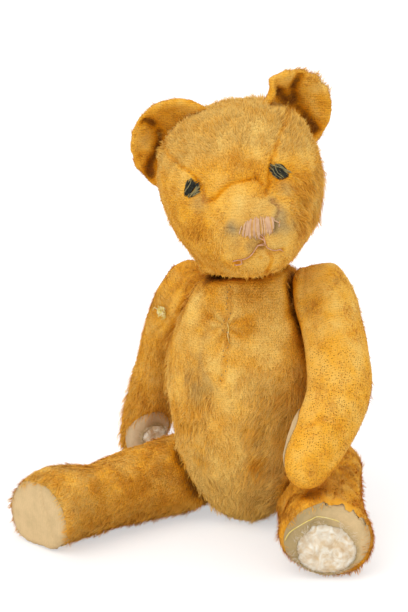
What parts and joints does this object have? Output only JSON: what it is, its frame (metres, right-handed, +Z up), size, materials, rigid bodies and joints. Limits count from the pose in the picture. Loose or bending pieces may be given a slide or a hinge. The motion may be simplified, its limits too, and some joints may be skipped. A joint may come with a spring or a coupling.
{
  "type": "jointed teddy bear",
  "caption": "Threadbare jointed mohair teddy bear that sits, its head and limbs turning on disc joints inside the stuffing.",
  "frame": {"origin": "the flat of the seat, on the surface that the bear sits on, under the middle of the torso", "axes": "+Z up, -Y the way the bear faces, +X to the bear's left"},
  "size_m": [0.2256, 0.1591, 0.2799],
  "materials": {
    "mohair_plush": "worn golden mohair pile on a cotton weave",
    "pad_cloth": "rubbed beige cotton cloth",
    "kapok_filling": "matted cream fibre",
    "millboard": "pressed fibre board",
    "steel_wire": "dull drawn steel",
    "dark_thread": "worn dark cotton thread",
    "rose_thread": "faded rose-brown thread"
  },
  "bodies": {
    "torso": {"torso_cover": "mohair_plush", "torso_filling": "kapok_filling", "neck_disc_inner": "millboard", "neck_washer_inner": "steel_wire", "neck_split_pin": "steel_wire", "shoulder_left_disc_inner": "millboard", "shoulder_left_washer_inner": "steel_wire", "shoulder_left_split_pin": "steel_wire", "shoulder_right_disc_inner": "millboard", "shoulder_right_washer_inner": "steel_wire", "shoulder_right_split_pin": "steel_wire", "hip_left_disc_inner": "millboard", "hip_left_washer_inner": "steel_wire", "hip_left_split_pin": "steel_wire", "hip_right_disc_inner": "millboard", "hip_right_washer_inner": "steel_wire", "hip_right_split_pin": "steel_wire"},
    "head": {"head_cover": "mohair_plush", "head_filling": "kapok_filling", "ear_left": "mohair_plush", "ear_right": "mohair_plush", "eye_left": "dark_thread", "eye_right": "dark_thread", "nose_stitching": "rose_thread", "mouth_stitching": "rose_thread", "neck_disc_outer": "millboard", "neck_washer_outer": "steel_wire"},
    "arm_left": {"arm_left_cover": "mohair_plush", "arm_left_filling": "kapok_filling", "arm_left_paw_pad": "pad_cloth", "shoulder_left_disc_outer": "millboard", "shoulder_left_washer_outer": "steel_wire"},
    "arm_right": {"arm_right_cover": "mohair_plush", "arm_right_filling": "kapok_filling", "arm_right_paw_pad": "pad_cloth", "shoulder_right_disc_outer": "millboard", "shoulder_right_washer_outer": "steel_wire"},
    "leg_left": {"leg_left_cover": "mohair_plush", "leg_left_filling": "kapok_filling", "leg_left_foot_pad": "pad_cloth", "hip_left_disc_outer": "millboard", "hip_left_washer_outer": "steel_wire"},
    "leg_right": {"leg_right_cover": "mohair_plush", "leg_right_filling": "kapok_filling", "leg_right_foot_pad": "pad_cloth", "hip_right_disc_outer": "millboard", "hip_right_washer_outer": "steel_wire"}
  },
  "joints": [
    {"name": "neck_turn", "type": "hinge", "parent": "torso", "child": "head", "pos_m": [-0.006, 0.003, 0.1555], "axis": [-0.139, 0.0499, 0.989], "range_deg": [-70, 40]},
    {"name": "shoulder_left_turn", "type": "hinge", "parent": "torso", "child": "arm_left", "pos_m": [0.033, -0.002, 0.135], "axis": [0.9182, -0.129, 0.3746], "range_deg": [-50, 0]},
    {"name": "shoulder_right_turn", "type": "hinge", "parent": "torso", "child": "arm_right", "pos_m": [-0.034, 0.018, 0.1235], "axis": [-0.8211, 0.4005, 0.4067], "range_deg": [-90, 0]},
    {"name": "hip_left_turn", "type": "hinge", "parent": "torso", "child": "leg_left", "pos_m": [0.029, 0.004, 0.0335], "axis": [0.9135, 0, -0.4067], "range_deg": [0, 90]},
    {"name": "hip_right_turn", "type": "hinge", "parent": "torso", "child": "leg_right", "pos_m": [-0.026, -0.0175, 0.0335], "axis": [-0.7514, 0.5068, -0.4226], "range_deg": [-90, 50]}
  ]
}
